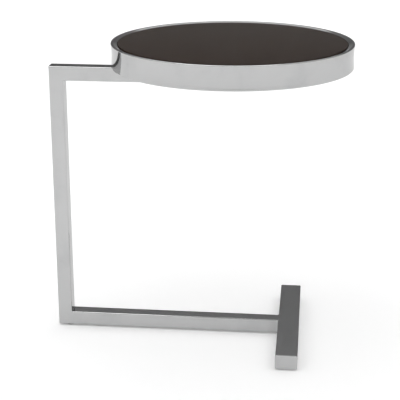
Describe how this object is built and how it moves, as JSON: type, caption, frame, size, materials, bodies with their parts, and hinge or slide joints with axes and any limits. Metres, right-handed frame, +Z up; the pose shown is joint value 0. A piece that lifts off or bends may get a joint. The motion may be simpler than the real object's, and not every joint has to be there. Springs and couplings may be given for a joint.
{
  "type": "side table",
  "caption": "C-shaped side table: a polished square-tube frame on a T foot carries a round top of dark glass set in a rolled metal band, to stand over a sofa seat.",
  "frame": {"origin": "on the floor, under the middle of the object's bounding box", "axes": "+Z up, +X from the post towards the foot bar, +Y to the rear along the foot bar"},
  "size_m": [0.5199, 0.4098, 0.5316],
  "materials": {
    "polished_chrome": "mirror-polished plating",
    "dark_glass": "glossy, opaque dark brown-black back coat",
    "black_board": "matt black lacquer on fibreboard",
    "zinc_steel": "zinc-plated, satin",
    "black_plug": "moulded, fine texture",
    "grey_nylon": "moulded nylon",
    "clear_silicone": "soft translucent"
  },
  "bodies": {
    "root": {"arm_end_plug": "black_plug", "core_board": "black_board", "floor_glide_front": "grey_nylon", "floor_glide_post": "grey_nylon", "floor_glide_rear": "grey_nylon", "foot_bar": "polished_chrome", "foot_cap_front": "polished_chrome", "foot_cap_rear": "polished_chrome", "glass_bumper_1": "clear_silicone", "glass_bumper_2": "clear_silicone", "glass_bumper_3": "clear_silicone", "glass_bumper_4": "clear_silicone", "glass_top": "dark_glass", "lower_arm": "polished_chrome", "mounting_plate": "polished_chrome", "plate_screw_1": "zinc_steel", "plate_screw_2": "zinc_steel", "plate_screw_3": "zinc_steel", "plate_screw_4": "zinc_steel", "plate_washer_1": "zinc_steel", "plate_washer_2": "zinc_steel", "plate_washer_3": "zinc_steel", "plate_washer_4": "zinc_steel", "post": "polished_chrome", "ring_band": "polished_chrome", "ring_tab_1": "polished_chrome", "ring_tab_2": "polished_chrome", "ring_tab_3": "polished_chrome", "ring_tab_4": "polished_chrome", "tab_screw_1": "zinc_steel", "tab_screw_2": "zinc_steel", "tab_screw_3": "zinc_steel", "tab_screw_4": "zinc_steel", "upper_arm": "polished_chrome"}
  },
  "joints": []
}
